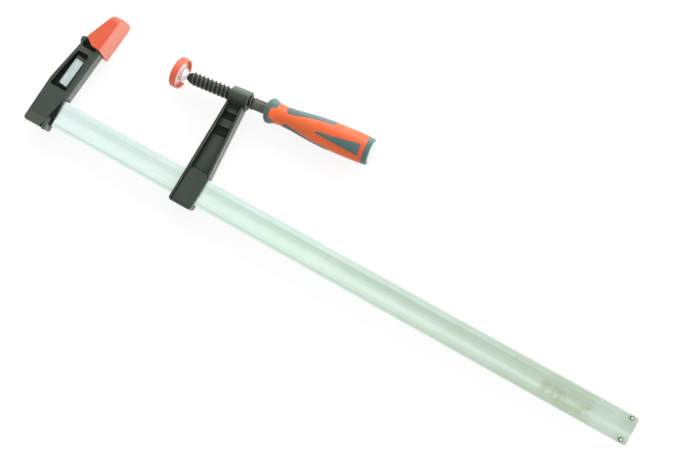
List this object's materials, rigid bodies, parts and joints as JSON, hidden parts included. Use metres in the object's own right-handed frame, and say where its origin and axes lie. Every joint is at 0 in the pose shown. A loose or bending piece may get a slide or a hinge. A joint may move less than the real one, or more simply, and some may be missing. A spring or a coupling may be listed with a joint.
{
  "type": "woodworking f-clamp",
  "caption": "F-clamp for woodwork: flat steel rail, cast fixed jaw with soft cap, cast jaw that slides on the rail, tilted screw with a swivel pressure pad and a turned two-part handle.",
  "frame": {"origin": "middle of the fixed clamping face, on the outer face of the soft cap", "axes": "+X along the rail from the fixed jaw to its free end; +Y from the rail towards the screw; +Z through the thickness of the flat castings"},
  "size_m": [0.6905, 0.1549, 0.033],
  "materials": {
    "zinc": "bright zinc plate with drawing lines and faint stains",
    "pin": "plated steel, upset heads",
    "casting": "black paint over a sand-cast skin, edges rubbed grey",
    "badge": "blank pale plate",
    "cap": "soft orange-red plastic",
    "screw": "black oxide under oil, brown tint on the shank",
    "bright": "bright nickel plate",
    "grip": "orange plastic, satin",
    "soft": "grey-teal soft rubber",
    "plug": "pale plastic"
  },
  "bodies": {
    "frame": {"rail": "zinc", "rail_stop_pins": "pin", "fixed_jaw": "casting", "badge_plate": "badge", "fixed_jaw_cap": "cap"},
    "sliding_jaw": {"sliding_jaw": "casting"},
    "feed": {"swivel_bush": "bright"},
    "spindle": {"spindle": "screw", "handle_core": "grip", "grip_front_collar": "soft", "grip_front_inlays": "soft", "grip_rear_inlays": "soft", "grip_end_collar": "soft", "handle_end_plug": "plug"},
    "pad": {"pressure_plate": "bright", "pressure_plate_cap": "cap"}
  },
  "joints": [
    {"name": "jaw_slide", "type": "slide", "parent": "frame", "child": "sliding_jaw", "axis": [1, 0, 0], "range_m": [-0.0645, 0.472]},
    {"name": "screw_feed", "type": "slide", "parent": "sliding_jaw", "child": "feed", "axis": [-0.9957, -0.0924, 0], "range_m": [-0.047, 0.0043]},
    {"name": "spindle_turn", "type": "hinge", "parent": "feed", "child": "spindle", "pos_m": [0.08468, 0.0027, 0], "axis": [-0.9957, -0.0924, 0], "range_deg": [-3560, 325]},
    {"name": "pad_swivel", "type": "hinge", "parent": "feed", "child": "pad", "pos_m": [0.08468, 0.0027, 0], "axis": [0, 0, 1], "range_deg": [-6, 16]}
  ],
  "couplings": [
    {"joint": "screw_feed", "follows": "spindle_turn", "m_per_rad": 0.00075599}
  ]
}
